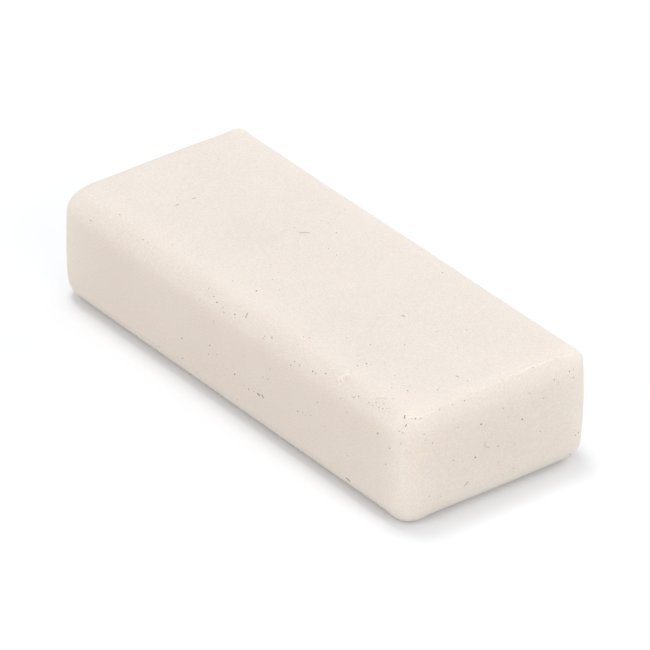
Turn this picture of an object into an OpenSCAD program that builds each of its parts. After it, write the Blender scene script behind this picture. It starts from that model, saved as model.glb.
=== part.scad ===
// Thermoplastic rubber eraser: one solid moulded block, soft-edged all round.
//
// Frame: the origin lies on the base, under the middle of the block. +X runs along its
// length, +Y across its width and +Z up. Sizes are in millimetres.

/* [Block] */
// Overall length
block_l = 58; // [40:0.5:80]
// Overall width
block_w = 24; // [18:0.5:40]
// Overall height
block_h = 13; // [9:0.5:20]

/* [Edges] */
// Radius of the edge round the top face
top_r = 2.8; // [0.5:0.1:4]
// Radius of the edge round the base
foot_r = 2.8; // [0.5:0.1:4]
// How much rounder the upright corners are, seen from above, than the fuller edge
corner_ease = 0.2; // [0:0.1:3]

/* [Moulding line] */
// Width of the fine raised line along the top edge at the +X end
line_w = 0.5; // [0.2:0.05:1]
// How far the line stands proud of the rounded edge
line_proud = 0.06; // [0.02:0.01:0.15]
// Where the line sits on the rounded edge: degrees down from the top face
line_angle = 30; // [20:1:70]

/* [Hidden] */

// Radius of the upright corners: never less than the edges that turn round them
corner_r = max(top_r, foot_r) + corner_ease;
// Straight run of each side, between its two corners
run_l = block_l - 2 * corner_r;
run_w = block_w - 2 * corner_r;

// The line's section is a round bead sunk in the edge. Its radius and the place of its centre
// follow from its width and height: a chord line_w wide, line_proud above the surface.
bead_r = (line_w * line_w / 4 + line_proud * line_proud) / (2 * line_proud);
bead_sunk = bead_r - line_proud;
bead_centre_x = block_l / 2 - top_r + (top_r - bead_sunk) * sin(line_angle);
bead_centre_z = block_h - top_r + (top_r - bead_sunk) * cos(line_angle);

// The section of the rim, from the axis of a corner out to the side: square inside,
// rounded by foot_r below and by top_r above.
module rim_section() {
    difference() {
        square([corner_r, block_h]);
        translate([corner_r - top_r, block_h - top_r])
            outside_corner(top_r);
        translate([corner_r - foot_r, foot_r])
            mirror([0, 1])
                outside_corner(foot_r);
    }
}

// What a fillet of radius r takes off a square corner whose arc is centred on the origin.
module outside_corner(r) {
    difference() {
        square(2 * r);
        circle(r, $fn = 96);
    }
}

// The rim section turned through a quarter round one upright corner, then carried in a
// straight line to the next one. side_run is the length of that line.
module rim_quarter(side_run) {
    rotate_extrude(angle = 90, $fn = 96)
        rim_section();
    rotate([90, 0, 0])
        linear_extrude(side_run)
            rim_section();
}

// Four quarters, each turned on from the last, and the core that they enclose.
module soft_block() {
    for (turn = [0, 1])
        rotate(180 * turn) {
            translate([run_l / 2, run_w / 2, 0])
                rim_quarter(run_w);
            translate([-run_l / 2, run_w / 2, 0])
                rotate(90)
                    rim_quarter(run_l);
        }
    translate([-run_l / 2, -run_w / 2, 0])
        cube([run_l, run_w, block_h]);
}

// The line runs across the +X end from corner to corner, and each end of it is round.
module moulding_line() {
    translate([bead_centre_x, 0, bead_centre_z]) {
        rotate([90, 0, 0])
            cylinder(h = run_w, r = bead_r, center = true, $fn = 96);
        for (side = [-1, 1])
            translate([0, side * run_w / 2, 0])
                sphere(bead_r, $fn = 96);
    }
}

module eraser_block() {
    color("antiquewhite")
        union() {
            soft_block();
            moulding_line();
        }
}

eraser_block();
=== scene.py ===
import math
import random

import bmesh
import bpy
from mathutils import Matrix, Vector, noise
from mathutils.bvhtree import BVHTree
from mathutils.kdtree import KDTree


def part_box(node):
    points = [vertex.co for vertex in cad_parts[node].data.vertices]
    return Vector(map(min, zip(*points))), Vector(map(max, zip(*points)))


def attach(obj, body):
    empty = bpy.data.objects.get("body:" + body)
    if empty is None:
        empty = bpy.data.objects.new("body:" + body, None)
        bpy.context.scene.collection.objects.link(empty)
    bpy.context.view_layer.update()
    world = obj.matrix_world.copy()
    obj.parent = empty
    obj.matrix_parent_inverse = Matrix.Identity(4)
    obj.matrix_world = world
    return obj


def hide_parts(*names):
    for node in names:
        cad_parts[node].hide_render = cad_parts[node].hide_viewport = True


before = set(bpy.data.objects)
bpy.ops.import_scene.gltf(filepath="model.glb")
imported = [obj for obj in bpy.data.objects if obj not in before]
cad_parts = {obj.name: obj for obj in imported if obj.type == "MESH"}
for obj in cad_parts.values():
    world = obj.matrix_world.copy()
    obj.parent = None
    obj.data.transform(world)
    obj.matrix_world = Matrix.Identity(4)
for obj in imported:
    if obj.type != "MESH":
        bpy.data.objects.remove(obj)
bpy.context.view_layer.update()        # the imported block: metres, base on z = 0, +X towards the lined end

mm = 0.001
scene = bpy.context.scene


# The camera: a long lens that looks down on the near corner.
cameraSetup = {
    "azimuth": 51.48,            # degrees round from looking along +Y
    "elevation": 31.37,          # degrees above the desk
    "roll": 0.955,               # degrees that the picture leans
    "distance": 779 * mm,        # from the middle of the base
    "aimRight": 0.585 * mm,      # the aim lies this far to the right of the middle of the base
    "aimUp": 5.042 * mm,         # and this far up, across the view
    "lens": 423.65,              # millimetres
    "sensor": 36.0,              # millimetres wide
    "frame": 650,                # pixels each way in the square picture
}


def towards(azimuth, elevation):
    # the direction from the block to something seen at this azimuth and elevation
    around, above = math.radians(azimuth), math.radians(elevation)
    return Vector((math.sin(around) * math.cos(above), -math.cos(around) * math.cos(above), math.sin(above)))


def cameraAxes():
    # the camera's right, up and backward directions, with its roll
    back = towards(cameraSetup["azimuth"], cameraSetup["elevation"])
    lean = Matrix.Rotation(math.radians(cameraSetup["roll"]), 3, back)
    right = Vector((0, 0, 1)).cross(back).normalized()
    return lean @ right, lean @ back.cross(right), back


def cameraPlace():
    right, up, back = cameraAxes()
    return back * cameraSetup["distance"] + right * cameraSetup["aimRight"] + up * cameraSetup["aimUp"]


def pixelRay(pixel):
    # the direction in which the camera sees the middle of a pixel of its picture
    right, up, back = cameraAxes()
    pixelsPerUnit = cameraSetup["lens"] / cameraSetup["sensor"] * cameraSetup["frame"]
    middle = (cameraSetup["frame"] - 1) / 2
    across, above = (pixel[0] - middle) / pixelsPerUnit, (middle - pixel[1]) / pixelsPerUnit
    return (right * across + up * above - back).normalized()


def placeCamera():
    right, up, back = cameraAxes()
    data = bpy.data.cameras.new("camera")
    data.lens = cameraSetup["lens"]
    data.sensor_width = cameraSetup["sensor"]
    data.clip_start, data.clip_end = 0.05, 10
    camera = bpy.data.objects.new("camera", data)
    camera.matrix_world = Matrix((right, up, back)).transposed().to_4x4()
    camera.location = cameraPlace()
    scene.collection.objects.link(camera)
    scene.camera = camera


placeCamera()
print("camera placed")


# The block: its clean moulded form first.
blockShape = {
    "edgeRadius": 2.8 * mm,      # round the top and round the base
    "cornerRadius": 3.0 * mm,    # of the upright corners, seen from above
    "edgeSteps": 12,             # faces across each rounded edge
    "cell": 0.55 * mm,           # size of the faces on the flat sides
    "fineCuts": (3, 2),          # the two finer steps of mesh cut a face's sides this many times
    "fineReach": 0.9,            # the finest mesh reaches this far round a mark, in the mark's widths
    "smallForm": 1.0,            # a soft form that reaches less than this, in millimetres, gets finer mesh
    "formReach": 2.2,            # out to this many times its reach
}
blockLow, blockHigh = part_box("eraser_block")
blockSize = blockHigh - blockLow
blockMiddle = (blockHigh + blockLow) / 2


def seat(point):
    # the nearest place on the block's clean surface, and the way out from it there
    edge, corner = blockShape["edgeRadius"], blockShape["cornerRadius"]
    rel = point - blockMiddle
    gapX = abs(rel.x) - (blockSize.x / 2 - corner)
    gapY = abs(rel.y) - (blockSize.y / 2 - corner)
    if gapX > 0 and gapY > 0:
        plan = Vector((math.copysign(gapX, rel.x), math.copysign(gapY, rel.y), 0))
        side = plan.length - corner
        plan.normalize()
    elif gapX > gapY:
        side, plan = gapX - corner, Vector((math.copysign(1, rel.x), 0, 0))
    else:
        side, plan = gapY - corner, Vector((0, math.copysign(1, rel.y), 0))
    upright = Vector((0, 0, math.copysign(1, rel.z)))
    level = abs(rel.z) - blockSize.z / 2
    if side > -edge and level > -edge:
        out = plan * (side + edge) + upright * (level + edge)
        gap = out.length - edge
        out.normalize()
    elif side > level:
        out, gap = plan, side
    else:
        out, gap = upright, level
    return point - out * gap, out


def cleanBlock():
    bm = bmesh.new()
    bmesh.ops.create_cube(bm, size=1)
    bmesh.ops.scale(bm, vec=blockSize, verts=bm.verts)
    bmesh.ops.translate(bm, vec=blockMiddle, verts=bm.verts)
    bmesh.ops.bevel(bm, geom=bm.edges[:] + bm.verts[:], offset=blockShape["edgeRadius"], offset_type="OFFSET",
                    affect="EDGES", segments=blockShape["edgeSteps"], profile=0.5, material=-1,
                    clamp_overlap=True)
    for axis in range(3):        # cut the straight runs along X, Y and Z into cells
        run = blockSize[axis] - 2 * blockShape["edgeRadius"]
        spans = {edge: abs((edge.verts[0].co - edge.verts[1].co)[axis]) for edge in bm.edges}
        straight = [edge for edge, span in spans.items() if abs(span - run) < 0.01 * run]
        cuts = round(run / blockShape["cell"]) - 1
        bmesh.ops.subdivide_edges(bm, edges=straight, cuts=cuts, use_grid_fill=True)
    return bm


block = cleanBlock()
blockTree = BVHTree.FromBMesh(block)
print("clean block:", len(block.faces), "faces")


def surfaceAt(pixel):
    # the place on the block that the camera sees at a pixel
    hit = blockTree.ray_cast(cameraPlace(), pixelRay(pixel))[0]
    return seat(hit)[0]


# Broad, soft departures from the clean form. Each pushes the surface straight out, or in where the push
# is negative. Places are (x, y, z) in millimetres from the middle of the base, and so are reaches.
softForms = {
    "backCorner": {"at": (-26.8, 10.1, 12.75), "reach": (0.8, 0.8, 0.8), "push": 0.31},
    "backCornerRight": {"at": (-26.2, 10.7, 12.6), "reach": (1.0, 0.6, 0.6), "push": 0.05},
    "farLeftCorner": {"at": (-27.9, -9.9, 12.3), "reach": (1.3, 1.3, 1.3), "push": -0.17},
    "farTopEdge": {"at": (-27.6, -6.2, 12.6), "reach": (2.0, 4.0, 2.0), "push": -0.06},
    "farTopEdgeBack": {"at": (-27.6, 8.0, 12.6), "reach": (1.5, 1.8, 1.5), "push": -0.05},
    "backTopEdge": {"at": (0, 11.0, 12.4), "reach": (26, 1.2, 1.2), "push": 0.033},
    "backTopEdgeLeft": {"at": (-22, 11.0, 12.4), "reach": (4.0, 1.2, 1.2), "push": 0.03},
    "farLeftUpright": {"at": (-27.5, -11.6, 6.3), "reach": (1.5, 1.5, 4.2), "push": 0.09},
    "farLeftFoot": {"at": (-27.3, -11.7, 2.5), "reach": (1.1, 1.1, 0.9), "push": -0.1},
    "rightUpright": {"at": (28.2, 11.1, 6.9), "reach": (1.3, 1.3, 3.6), "push": 0.22},
    "rightUprightLow": {"at": (28.2, 11.1, 4.3), "reach": (1.3, 1.3, 1.6), "push": 0.055},
    "rightTopCorner": {"at": (27.2, 11.3, 11.6), "reach": (0.65, 0.65, 0.75), "push": 0.27},
    "rightFoot": {"at": (28.5, 10.1, 1.7), "reach": (1.2, 1.2, 1.2), "push": 0.17},
    "nearCornerFoot": {"at": (27.3, -10.5, 0.65), "reach": (1.5, 1.5, 1.0), "push": 0.2},
    "endFoot": {"at": (28.2, 3, 0.86), "reach": (0.9, 12, 0.9), "push": 0.12},
    "sideFoot": {"at": (0, -11.4, 1.1), "reach": (40, 0.9, 0.9), "push": 0.05},
    "nickHollow": {"at": (17.9, -11.0, 12.4), "reach": (0.5, 0.5, 0.5), "push": -0.1},
    "scuffHollow": {"at": (23.4, -10.9, 12.4), "reach": (0.75, 0.75, 0.75), "push": -0.03},
}
unevenness = {
    "broad": (9.0, 0.04),        # size of the swells and how deep they go, in millimetres
    "close": (2.2, 0.008),
    "seed": Vector((3.1, 7.7, 1.9)),
    "fadeHeight": 2.0,           # it fades out below this height, so that the base stays flat
}

# How the upright faces differ from the top: painted light, and a painted warm shade tint.
uprightLook = {
    "tone": 0.05,                # painted light: paler by this share
    "warmSides": 1.0,            # how far the long sides take on the painted warm shade tint
    "warmEnds": 0.5,             # and how far the ends do
}

# Broad patches of painted light (positive) and painted shade, as a share of the rubber's colour. Where there
# is a pale value, the patch also takes on the pale colour, by up to that share.
paintedLightAndShade = {
    "topMiddle": {"at": (-9, -1.5, 13), "reach": (7, 4.5, 2), "tone": -0.028},
    "topNear": {"at": (12, -4.5, 13), "reach": (5, 4, 2), "tone": -0.024},
    "farSide": {"at": (-26, -12, 8), "reach": (4, 2, 5), "tone": 0.04},
    "nearSide": {"at": (26.5, -12, 7), "reach": (3.2, 2, 6), "tone": 0.045},
    "nick": {"at": (17.9, -11.0, 12.4), "reach": (0.5, 0.5, 0.5), "tone": -0.05},
    "lowSide": {"at": (-1, -12, 3.5), "reach": (18, 1.5, 2.5), "tone": -0.028},
    "sideFoot": {"at": (2, -11.3, 0.8), "reach": (32, 1.1, 0.9), "tone": 0.035, "pale": 0.2},
    "sideTopEdge": {"at": (0, -11.3, 12.3), "reach": (30, 1.1, 1.1), "tone": -0.027},
    "endTopEdge": {"at": (28.3, 0, 12.3), "reach": (1.1, 12, 1.1), "tone": -0.03},
    "nearUpright": {"at": (27.4, -11.7, 6.5), "reach": (1.3, 1.3, 5), "tone": 0.02},
    "endMiddle": {"at": (29, 0, 7), "reach": (2, 3.5, 3), "tone": -0.028},
    "endRight": {"at": (28.6, 10.5, 6.5), "reach": (2, 2.6, 6), "tone": 0.045},
    "endFoot": {"at": (28.4, 1, 0.5), "reach": (1.2, 14, 1.2), "tone": 0.05, "pale": 0.8},
    "farLeftUpright": {"at": (-27.5, -11.6, 6.5), "reach": (1.8, 2, 6), "tone": 0.05},
}

# The fine raised line across the top edge at the +X end, faint along most of its length. Its pale colour is
# partly whiter rubber and partly painted highlight.
mouldLine = {
    "angle": 30,                 # degrees down from the top face
    "fadeFrom": 8.6,             # it starts to fade this many millimetres to each side of the middle
    "fadeOver": 1.2,             # and is gone this much further out
    "halfWidth": 0.12,
    "height": 0.02,
    "pale": 0.16,
    "strength": 0.6,             # how plain it is on the whole
    "patchiness": 1.2,           # how much that varies along it
    "patches": 1.9,              # rough number of plain and faint patches to the millimetre
    "meshReach": 11.0,           # finer mesh follows it this far each way
    "meshWidth": 1.3,            # and this far round it, in cells
}


def near(point, place):
    # how strongly a soft form or tone acts at a point: 1 at its middle, nothing from 3 reaches away
    gap = sum(((point[axis] - place["at"][axis]) / place["reach"][axis]) ** 2 for axis in range(3))
    return math.exp(-gap) if gap < 3 ** 2 else 0


def lineStrength(y):
    # how plain the line is at this many millimetres across the end
    ends = 1 - min(1, max(0, (abs(y) - mouldLine["fadeFrom"]) / mouldLine["fadeOver"]))
    patch = noise.noise(Vector((0, y * mouldLine["patches"], 0)))
    return ends * max(0, mouldLine["strength"] + mouldLine["patchiness"] * patch)


def lineOffset(point):
    # distance of a point, in millimetres, from the middle of the line's crest
    edge = blockShape["edgeRadius"]
    x = point.x - (blockHigh.x - edge)
    z = point.z - (blockHigh.z - edge)
    if x <= 0 or z <= 0:
        return None
    return (math.atan2(x, z) - math.radians(mouldLine["angle"])) * edge / mm


# Dark flecks pressed into pits, mostly of dirt, by the pixel at which the camera sees each. A dash or a fibre
# is a run of pixels. Sizes are in millimetres; dark is how much of the rubber's colour is lost.
flecks = {
    "bold": {"width": 0.21, "dark": 1.0, "pixels": [
        (481, 424), (475, 457), (522, 419), (377, 433), (256, 290), (366, 363), (234, 374)]},
    "plain": {"width": 0.185, "dark": 0.88, "pixels": [
        (407, 390), (209, 345), (442, 272), (498, 446), (336, 232), (271, 337), (216, 302), (181, 338),
        (248, 389), (370, 344), (325, 373), (357, 365), (569, 453), (312, 371), (578, 432), (297, 411),
        (182, 358), (234, 314)]},
    "small": {"width": 0.17, "dark": 0.64, "pixels": [
        (540, 431), (573, 377), (569, 371), (575, 435), (467, 380), (437, 389), (464, 400), (457, 347),
        (466, 329), (404, 344), (328, 248), (336, 254), (294, 227), (389, 448), (385, 464), (453, 460),
        (317, 402), (310, 415), (315, 373), (309, 337), (119, 214), (90, 220), (142, 239), (218, 158),
        (272, 279), (213, 296), (213, 321), (208, 354), (177, 357), (267, 379), (421, 249), (299, 365),
        (358, 396), (159, 346), (237, 399), (290, 365), (382, 408), (415, 418), (279, 289), (302, 412),
        (223, 312), (294, 361), (262, 377)]},
    "faint": {"width": 0.18, "dark": 0.34, "pixels": [
        (433, 324), (436, 331), (377, 345), (429, 496), (440, 496), (147, 242), (172, 244), (232, 280),
        (457, 427), (410, 385), (400, 444), (347, 455), (346, 337), (408, 240), (439, 261), (411, 418),
        (485, 291), (508, 417), (498, 462), (324, 426), (264, 336), (270, 264), (375, 402), (378, 407),
        (383, 403), (346, 412), (398, 431), (402, 433), (424, 434), (452, 404), (439, 409), (394, 375),
        (391, 387), (558, 382), (573, 369), (543, 398), (340, 398), (368, 402), (372, 405), (529, 393),
        (532, 367), (359, 360), (222, 307), (269, 369), (226, 369), (513, 468), (253, 391), (503, 408),
        (262, 338), (305, 415), (384, 362), (297, 240), (358, 355), (199, 300), (208, 288), (205, 379),
        (216, 354), (278, 272), (303, 336), (197, 372), (344, 209), (321, 220), (328, 222), (432, 443),
        (425, 440), (392, 398)]},
}
dashes = {
    "cornerDash": {"width": 0.11, "dark": 0.95, "run": [(404.4, 414.8), (403.8, 417.6)]},
    "underCornerDash": {"width": 0.1, "dark": 0.8, "run": [(405.7, 423.8), (404.9, 426.0)]},
    "topLongDash": {"width": 0.13, "dark": 0.8, "run": [(299.0, 232.1), (304.0, 231.8), (308.6, 232.0)]},
    "topMidDash": {"width": 0.15, "dark": 0.85, "run": [(401.2, 314.7), (404.2, 315.6)]},
    "topNearDash": {"width": 0.12, "dark": 0.65, "run": [(455.3, 375.0), (458.3, 376.1)]},
    "topFarDash": {"width": 0.13, "dark": 0.55, "run": [(192.1, 198.1), (195.1, 196.9)]},
    "topFarDashLow": {"width": 0.13, "dark": 0.55, "run": [(175.1, 204.7), (178.3, 203.3)]},
    "edgeDash": {"width": 0.12, "dark": 0.72, "run": [(244.5, 317.1), (245.7, 315.3), (246.7, 312.6)]},
    "sideFleck": {"width": 0.2, "dark": 0.95, "run": [(257.0, 393.2), (258.6, 395.2)]},
    "sideFleckLow": {"width": 0.17, "dark": 0.9, "run": [(261.4, 394.6), (262.3, 397.2)]},
    "footFibre": {"width": 0.22, "dark": 1.0, "run": [(346.1, 478.0), (349.0, 480.7)]},
    "endTick": {"width": 0.12, "dark": 0.42, "run": [(554.0, 378.4), (554.1, 380.4)]},
    "endHair": {"width": 0.07, "dark": 0.5, "run": [
        (485.6, 441.2), (484.2, 444.0), (485.0, 446.3), (489.2, 447.3)]},
    "endSlash": {"width": 0.09, "dark": 0.62, "run": [(464.1, 485.3), (468.1, 481.1)]},
    # the scuff and nick marks below are dark strokes along the scuff and in the nick
    "scuffArc": {"width": 0.1, "dark": 0.2, "run": [
        (375.7, 398.0), (379.6, 397.2), (384.2, 397.2), (384.6, 398.6)]},
    "scuffDash": {"width": 0.12, "dark": 0.3, "run": [(351.9, 396.9), (354.1, 396.7)]},
    "scuffDashNear": {"width": 0.1, "dark": 0.2, "run": [(385.8, 408.0), (389.5, 408.0)]},
    "nickSpot": {"width": 0.13, "dark": 0.25, "run": [(340.2, 381.6), (340.0, 379.8)]},
    "nickSpotLeft": {"width": 0.12, "dark": 0.25, "run": [(336.4, 382.0), (336.6, 379.4)]},
    "linePitDash": {"width": 0.12, "dark": 0.3, "run": [(418.9, 418.6), (421.0, 417.6)]},
}
pits = {
    "depth": 0.45,               # depth of a pit, as a share of its width
    "edge": 1.35,                # it ends this many half widths from its middle, and is full one nearer
    "rimAt": 0.8,                # a pale rim lies this far from its middle, in its widths
    "rimWidth": 0.3,             # and fades out over this, each way
    "rimPale": 0.8,
}

# Fine raised pale strokes: the stronger stretches of the moulding line, and the lips of the nick. Their pale
# colour is partly the rubber's own and partly painted highlight.
ridges = {
    "lineMain": {"width": 0.2, "height": 0.05, "pale": 0.85, "run": [
        (524.6, 368.8), (528.6, 367.2), (533.6, 365.3), (536.5, 364.2), (542.6, 362.5)]},
    "lineFork": {"width": 0.14, "height": 0.03, "pale": 0.55, "run": [(518.0, 370.2), (524.6, 368.8)]},
    "lineForkLow": {"width": 0.13, "height": 0.02, "pale": 0.4, "run": [(518.2, 371.8), (523.0, 371.0)]},
    "lineFar": {"width": 0.17, "height": 0.04, "pale": 0.6, "run": [
        (557.2, 357.0), (562.0, 356.2), (567.0, 355.4)]},
    "lineFarEnd": {"width": 0.17, "height": 0.02, "pale": 0.28, "run": [(567.0, 355.4), (574.5, 354.6)]},
    "lineLink": {"width": 0.17, "height": 0.02, "pale": 0.2, "run": [
        (542.6, 362.5), (549.5, 359.8), (557.2, 357.0)]},
    "lineLeft": {"width": 0.18, "height": 0.02, "pale": 0.4, "run": [(507.6, 375.4), (513.4, 373.8)]},
    "lineCorner": {"width": 0.16, "height": 0.03, "pale": 0.5, "run": [
        (422.6, 415.7), (425.6, 413.8), (429.4, 411.6), (436.2, 410.4)]},
    "pitLipTop": {"width": 0.17, "height": 0.02, "pale": 0.5, "run": [
        (409.0, 416.6), (414.0, 416.4), (421.6, 415.8)]},
    "pitLipLow": {"width": 0.16, "height": 0.02, "pale": 0.4, "run": [
        (409.6, 421.0), (416.0, 421.4), (421.4, 420.4)]},
    "cornerChip": {"width": 0.13, "height": 0.03, "pale": 0.95, "run": [(405.5, 415.6), (405.2, 417.4)]},
    "nickLip": {"width": 0.28, "height": 0.04, "pale": 0.65, "run": [
        (339.6, 376.6), (342.8, 375.0), (345.4, 373.8), (348.4, 374.0)]},
    "nickLipHigh": {"width": 0.36, "height": 0.02, "pale": 0.4, "run": [(344.4, 371.6), (347.0, 370.6)]},
    "nickStreak": {"width": 0.18, "height": 0.03, "pale": 0.55, "run": [(337.9, 381.8), (337.7, 376.8)]},
    "nickStreakMiddle": {"width": 0.18, "height": 0.03, "pale": 0.6, "run": [
        (339.0, 384.0), (340.6, 380.2), (341.6, 377.4)]},
    "nickStreakRight": {"width": 0.16, "height": 0.02, "pale": 0.4, "run": [(342.4, 381.0), (343.2, 377.4)]},
    "scuffLip": {"width": 0.14, "height": 0.02, "pale": 0.45, "run": [(378.4, 395.8), (384.2, 395.5)]},
    "scuffSpot": {"width": 0.2, "height": 0.02, "pale": 0.45, "run": [(370.2, 397.6), (371.0, 396.6)]},
    # a painted highlight down the near upright corner
    "uprightHighlight": {"width": 0.3, "height": 0.01, "pale": 0.12, "run": [
        (402.4, 430.0), (400.8, 462.0), (399.8, 492.0)]},
}
ridgeReach = 1.5                 # a ridge has faded out this many widths from its middle
hiddenFlecks = {
    "count": 70,                 # scattered on the two sides and the base that the camera doesn't see
    "width": (0.09, 0.17),
    "dark": (0.3, 0.85),
    "seed": 11,
}


def scatterHidden():
    random.seed(hiddenFlecks["seed"])
    found = []
    for number in range(hiddenFlecks["count"]):
        x = random.uniform(blockLow.x, blockHigh.x)
        y = random.uniform(blockLow.y, blockHigh.y)
        z = random.uniform(blockLow.z, blockHigh.z)
        places = [Vector((x, blockHigh.y, z)), Vector((blockLow.x, y, z)), Vector((x, y, blockLow.z))]
        spot = seat(places[number % 5 // 2])[0]          # of five, two on each side and one on the base
        width = random.uniform(*hiddenFlecks["width"]) * mm
        found.append((spot, spot, width, random.uniform(*hiddenFlecks["dark"])))
    return found


def strokes(run):
    # the straight pieces, on the surface, of a run of pixels
    spots = [surfaceAt(pixel) for pixel in run]
    return list(zip(spots, spots[1:] if len(spots) > 1 else spots))


def allMarks():
    # each mark is a short straight stroke on the surface: both ends, width and darkness
    marks = scatterHidden()
    for look in flecks.values():
        for pixel in look["pixels"]:
            spot = surfaceAt(pixel)
            marks.append((spot, spot, look["width"] * mm, look["dark"]))
    for look in dashes.values():
        for start, end in strokes(look["run"]):
            marks.append((start, end, look["width"] * mm, look["dark"]))
    return marks


def allRidges():
    found = []
    for look in ridges.values():
        for start, end in strokes(look["run"]):
            found.append((start, end, look["width"] * mm, look["height"] * mm, look["pale"]))
    return found


def strokeDistance(point, start, end):
    along = end - start
    share = 0 if along.length_squared == 0 else (point - start).dot(along) / along.length_squared
    return (point - start - along * min(1, max(0, share))).length


def strokeSteps(start, end, step):
    count = max(1, math.ceil((end - start).length / step))
    return [start.lerp(end, n / count) for n in range(count + 1)]


def refine(bm, places, cuts):
    # cuts every face that lies near one of the (point, reach) places
    tree = KDTree(len(bm.faces))
    faces = list(bm.faces)
    for number, face in enumerate(faces):
        tree.insert(face.calc_center_median(), number)
    tree.balance()
    chosen = set()
    for point, reach in places:
        chosen.update(number for _, number, _ in tree.find_range(point, reach))
    edges = {edge for number in chosen for edge in faces[number].edges}
    bmesh.ops.subdivide_edges(bm, edges=list(edges), cuts=cuts, use_grid_fill=True)


marks = allMarks()
lips = allRidges()
cell = blockShape["cell"]
firstCuts, secondCuts = blockShape["fineCuts"]
fineCell = cell / (firstCuts + 1)
lineTurn = math.radians(mouldLine["angle"])
crestX = blockHigh.x - blockShape["edgeRadius"] * (1 - math.sin(lineTurn))
crestZ = blockHigh.z - blockShape["edgeRadius"] * (1 - math.cos(lineTurn))
lineCells = round(mouldLine["meshReach"] * mm / cell)
lineSteps = [Vector((crestX, number * cell, crestZ)) for number in range(-lineCells, lineCells + 1)]
coarsePlaces = [(spot, cell) for mark in marks + lips for spot in strokeSteps(mark[0], mark[1], cell / 2)]
coarsePlaces += [(spot, mouldLine["meshWidth"] * cell) for spot in lineSteps]
for form in softForms.values():
    if max(form["reach"]) < blockShape["smallForm"]:
        coarsePlaces.append((Vector(form["at"]) * mm, blockShape["formReach"] * max(form["reach"]) * mm))
refine(block, coarsePlaces, firstCuts)
finePlaces = [(spot, blockShape["fineReach"] * mark[2] + fineCell) for mark in marks + lips
              for spot in strokeSteps(mark[0], mark[1], fineCell)]
refine(block, finePlaces, secondCuts)
print("block refined:", len(block.faces), "faces")


def sculptBlock(bm):
    # pushes every point to its sculpted place, and stores what the rubber's colour needs there: dirt,
    # paleness, and painted light and shade
    layers = bm.verts.layers.float
    dirt, pale, tone, uprightShadeTint = (layers.new(name) for name in ("dirt", "pale", "tone", "uprightShadeTint"))
    swellSize, swellDepth = unevenness["broad"]
    closeSize, closeDepth = unevenness["close"]
    verts = list(bm.verts)
    clean = [seat(vert.co) for vert in verts]
    pushes = []
    tree = KDTree(len(verts))
    for number, (vert, (spot, out)) in enumerate(zip(verts, clean)):
        tree.insert(spot, number)
        local = spot / mm
        push = -swellDepth * (0.5 + 0.5 * noise.noise(local / swellSize + unevenness["seed"]))
        push -= closeDepth * (0.5 + 0.5 * noise.noise(local / closeSize - unevenness["seed"]))
        push *= min(1, local.z / unevenness["fadeHeight"])
        push += sum(form["push"] * near(local, form) for form in softForms.values())
        shares = [(patch, near(local, patch)) for patch in paintedLightAndShade.values()]
        # painted light and shade: the upright faces paler and in the warm shade tint, and the painted patches
        upright = 1 - max(0, out.z)
        warm = uprightLook["warmEnds"] + (uprightLook["warmSides"] - uprightLook["warmEnds"]) * out.y ** 2
        vert[tone] = uprightLook["tone"] * upright + sum(patch["tone"] * share for patch, share in shares)
        vert[pale] = sum(patch.get("pale", 0) * share for patch, share in shares)
        vert[uprightShadeTint] = upright * warm
        offset = lineOffset(spot)
        if offset is not None and abs(offset) < 1:
            crest = lineStrength(local.y) * math.exp(-(offset / mouldLine["halfWidth"]) ** 2)
            push += mouldLine["height"] * crest
            vert[pale] = max(vert[pale], mouldLine["pale"] * crest)
        pushes.append(push * mm)
    tree.balance()
    for start, end, width, height, paleness in lips:
        reach = (end - start).length / 2 + ridgeReach * width
        for _, number, _ in tree.find_range((start + end) / 2, reach):
            gap = strokeDistance(clean[number][0], start, end) / (width / 2)
            crest = math.exp(-gap * gap)
            pushes[number] = max(pushes[number], pushes[number] + height * crest)
            verts[number][pale] = max(verts[number][pale], paleness * crest)
    for start, end, width, dark in marks:
        reach = (end - start).length / 2 + width * (pits["rimAt"] + pits["rimWidth"])
        for _, number, _ in tree.find_range((start + end) / 2, reach):
            gap = strokeDistance(clean[number][0], start, end) / (width / 2)
            inside = min(1, max(0, pits["edge"] - gap))
            rim = max(0, 1 - abs(gap / 2 - pits["rimAt"]) / pits["rimWidth"])
            verts[number][dirt] = max(verts[number][dirt], dark * inside)
            verts[number][pale] = max(verts[number][pale], pits["rimPale"] * dark * rim)
            pushes[number] -= pits["depth"] * width * inside * inside
    for vert, (spot, out), push in zip(verts, clean, pushes):    # nothing leaves the block's box
        moved = spot + out * push
        vert.co = [min(max(moved[axis], blockLow[axis]), blockHigh[axis]) for axis in range(3)]


sculptBlock(block)
block.normal_update()
for face in block.faces:
    face.smooth = True
blockMesh = bpy.data.meshes.new("soft_eraser_block")
block.to_mesh(blockMesh)
block.free()
blockPiece = bpy.data.objects.new("soft_eraser_block", blockMesh)
scene.collection.objects.link(blockPiece)
print("block sculpted:", len(blockMesh.polygons), "faces")


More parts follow.
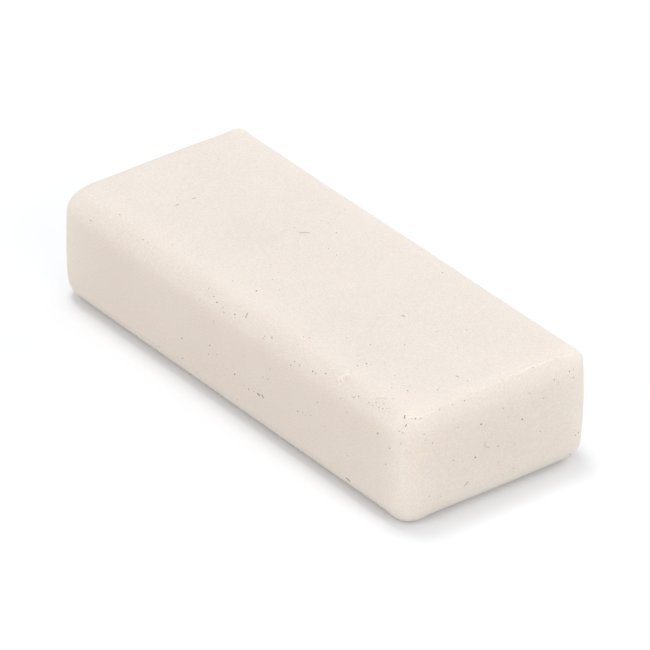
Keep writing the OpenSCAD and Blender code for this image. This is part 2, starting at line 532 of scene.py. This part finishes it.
# The rubber: waxy cream white, which lets a little light in.
rubberLook = {
    "cream": (0.848, 0.777, 0.712),      # the colour of the top
    "uprightShadeCream": (0.869, 0.767, 0.69),   # a painted shade tint of the same rubber, on the long sides
    "paleAndLitCream": (0.98, 0.903, 0.83),    # partly pale rubber and partly painted highlight along the line, pale round the pits, painted light at the base
    "dirtColor": (0.13, 0.065, 0.03),
    "cloudSize": 7.0,                    # millimetres
    "cloud": 0.007,                      # how far the broad clouds shift the colour, as a share of it
    "cloudEdges": (0.36, 0.66),          # the noise values at which a cloud is at its darkest and palest
    "grainSize": 0.19,                   # millimetres
    "grain": 0.07,                       # how far the grain shifts the colour
    "grainEdges": (0.25, 0.75),
    "fleckSpacing": 1.5,                 # of the tiny flecks in the mix, in millimetres
    "fleckEdges": (0.035, 0.06),         # a tiny fleck is full inside the first and gone past the next
    "fleckShare": (0.35, 1.0),           # a third of the places have none, and the rest are of every darkness
    "fleckDark": 0.3,                    # the darkest
    "roughness": (0.47, 0.58),           # from the grain's low places to its high ones
    "roughEdges": (0.3, 0.7),
    "grainBump": 0.005,                  # millimetres
    "refraction": 1.49,
    "inside": 0.8,                       # how much of the light goes inside the rubber
    "insideReach": 2.3,                  # how far it spreads there, in millimetres
    "insideSpread": (1.0, 0.85, 0.7),    # how far red, green and blue each do, as shares of that
}


def addNode(tree, kind, settings=None, **inputs):
    # makes a node, sets its properties, and sets or links its inputs by name, or by number as n0 or n1
    node = tree.nodes.new(kind)
    for name, value in (settings or {}).items():
        setattr(node, name, value)
    for name, value in inputs.items():
        numbered = name[0] == "n" and name[1:].isdigit()
        socket = node.inputs[int(name[1:]) if numbered else name.replace("_", " ")]
        if isinstance(value, bpy.types.NodeSocket):
            tree.links.new(value, socket)
        else:
            socket.default_value = value
    return node


def noiseAt(tree, place, sizeMm, detail=2.0, roughness=0.5):
    found = addNode(tree, "ShaderNodeTexNoise", Vector=place, Scale=1 / (sizeMm * mm), Detail=detail,
                    Roughness=roughness)
    return found.outputs["Fac"]


def mixColor(tree, share, first, second, blend="MIX"):
    settings = {"data_type": "RGBA", "blend_type": blend}
    return addNode(tree, "ShaderNodeMix", settings, n0=share, n6=first, n7=second).outputs[2]


def ramp(tree, value, edges, toLow=0.0, toHigh=1.0):
    # a smooth step from one result to another as the value goes from the first edge to the second
    settings = {"interpolation_type": "SMOOTHSTEP"}
    node = addNode(tree, "ShaderNodeMapRange", settings, Value=value, From_Min=edges[0], From_Max=edges[1],
                   To_Min=toLow, To_Max=toHigh)
    return node.outputs["Result"]


def math2(tree, operation, first, second):
    return addNode(tree, "ShaderNodeMath", {"operation": operation}, n0=first, n1=second).outputs[0]


def opaque(color):
    return (*color, 1.0)


def storedValue(tree, name):
    return addNode(tree, "ShaderNodeAttribute", {"attribute_name": name}).outputs["Fac"]


def makeRubber():
    look = rubberLook
    material = bpy.data.materials.new("softCreamRubber")
    material.use_nodes = True
    tree = material.node_tree
    tree.nodes.clear()
    place = addNode(tree, "ShaderNodeTexCoord").outputs["Object"]
    clouds = noiseAt(tree, place, look["cloudSize"], 3)
    clouds = ramp(tree, clouds, look["cloudEdges"], -look["cloud"], look["cloud"])
    grain = noiseAt(tree, place, look["grainSize"], 4, 0.65)
    shade = ramp(tree, grain, look["grainEdges"], 1 - look["grain"], 1 + look["grain"])
    # the tone attribute carries the painted light and shade
    shade = math2(tree, "ADD", shade, math2(tree, "ADD", clouds, storedValue(tree, "tone")))
    # the upright faces take the painted warm shade tint
    color = mixColor(tree, storedValue(tree, "uprightShadeTint"), opaque(look["cream"]), opaque(look["uprightShadeCream"]))
    color = mixColor(tree, 1.0, color, shade, "MULTIPLY")
    cells = addNode(tree, "ShaderNodeTexVoronoi", Vector=place, Scale=1 / (look["fleckSpacing"] * mm))
    inFleck = ramp(tree, cells.outputs["Distance"], look["fleckEdges"], 1, 0)
    chance = addNode(tree, "ShaderNodeSeparateColor", Color=cells.outputs["Color"]).outputs[0]
    tiny = math2(tree, "MULTIPLY", inFleck, ramp(tree, chance, look["fleckShare"], 0, look["fleckDark"]))
    color = mixColor(tree, tiny, color, opaque(look["dirtColor"]))
    # the pale colour: painted highlight along the line and the nick, pale rims round the pits, painted light
    # at the base
    color = mixColor(tree, storedValue(tree, "pale"), color, opaque(look["paleAndLitCream"]))
    color = mixColor(tree, storedValue(tree, "dirt"), color, opaque(look["dirtColor"]))
    rough = ramp(tree, grain, look["roughEdges"], *look["roughness"])
    bump = addNode(tree, "ShaderNodeBump", Height=grain, Strength=1.0, Distance=look["grainBump"] * mm)
    skin = addNode(tree, "ShaderNodeBsdfPrincipled", Base_Color=color, Roughness=rough,
                   Normal=bump.outputs["Normal"], IOR=look["refraction"], Subsurface_Weight=look["inside"],
                   Subsurface_Radius=look["insideSpread"], Subsurface_Scale=look["insideReach"] * mm)
    addNode(tree, "ShaderNodeOutputMaterial", Surface=skin.outputs["BSDF"])
    return material


blockMesh.materials.append(makeRubber())
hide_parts("eraser_block")
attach(blockPiece, "root")
print("rubber made")


# The desk: a plain white surface that keeps the block's shadow.
desk = {
    "reach": 0.35,                   # metres each way
    "tone": 0.73,                    # how much light it gives back to the block
    "seen": (1.022, 1.044, 1.07),    # its colour to the camera: slightly cool, so that the shadow is grey
}


def makeDesk():
    bm = bmesh.new()
    bmesh.ops.create_grid(bm, x_segments=1, y_segments=1, size=desk["reach"])
    mesh = bpy.data.meshes.new("desk")
    bm.to_mesh(mesh)
    bm.free()
    piece = bpy.data.objects.new("desk", mesh)
    scene.collection.objects.link(piece)
    material = bpy.data.materials.new("whiteDesk")
    material.use_nodes = True
    tree = material.node_tree
    tree.nodes.clear()
    rays = addNode(tree, "ShaderNodeLightPath")
    tone = mixColor(tree, rays.outputs["Is Camera Ray"], opaque([desk["tone"]] * 3), opaque(desk["seen"]))
    surface = addNode(tree, "ShaderNodeBsdfDiffuse", Color=tone)
    addNode(tree, "ShaderNodeOutputMaterial", Surface=surface.outputs[0])
    mesh.materials.append(material)


makeDesk()


# The light: an even pale room, a soft lamp overhead and three wide weaker ones round about.
roomLight = {"strength": 0.542, "color": (1.0, 1.0, 1.0)}
lamps = {
    "overhead": {"azimuth": -90, "elevation": 77, "distance": 1.6, "size": 0.56, "power": 6.56},
    "front": {"azimuth": 0, "elevation": 25, "distance": 1.6, "size": 1.29, "power": 4.85},
    "right": {"azimuth": 90, "elevation": 25, "distance": 1.6, "size": 1.29, "power": 6.3},
    "back": {"azimuth": 180, "elevation": 30, "distance": 1.6, "size": 1.29, "power": 4.5},
}


def makeRoom():
    world = bpy.data.worlds.new("room")
    scene.world = world
    world.use_nodes = True
    tree = world.node_tree
    tree.nodes.clear()
    rays = addNode(tree, "ShaderNodeLightPath")
    seen = math2(tree, "MAXIMUM", rays.outputs["Is Camera Ray"], rays.outputs["Is Glossy Ray"])
    seen = math2(tree, "MAXIMUM", seen, rays.outputs["Is Transmission Ray"])
    lit = addNode(tree, "ShaderNodeBackground", Color=opaque(roomLight["color"]),
                  Strength=roomLight["strength"])
    white = addNode(tree, "ShaderNodeBackground", Color=(1, 1, 1, 1), Strength=1.0)
    both = addNode(tree, "ShaderNodeMixShader", n0=seen, n1=lit.outputs[0], n2=white.outputs[0])
    addNode(tree, "ShaderNodeOutputWorld", Surface=both.outputs[0])


def makeLamps():
    for name, lamp in lamps.items():
        data = bpy.data.lights.new(name, "AREA")
        data.shape = "DISK"
        data.size = lamp["size"]
        data.energy = lamp["power"]
        light = bpy.data.objects.new(name, data)
        way = towards(lamp["azimuth"], lamp["elevation"])
        light.rotation_mode = "QUATERNION"
        light.rotation_quaternion = way.to_track_quat("Z", "Y")
        light.location = way * lamp["distance"]
        scene.collection.objects.link(light)


makeRoom()
makeLamps()
scene.view_settings.view_transform = "Standard"
print("desk and light set")
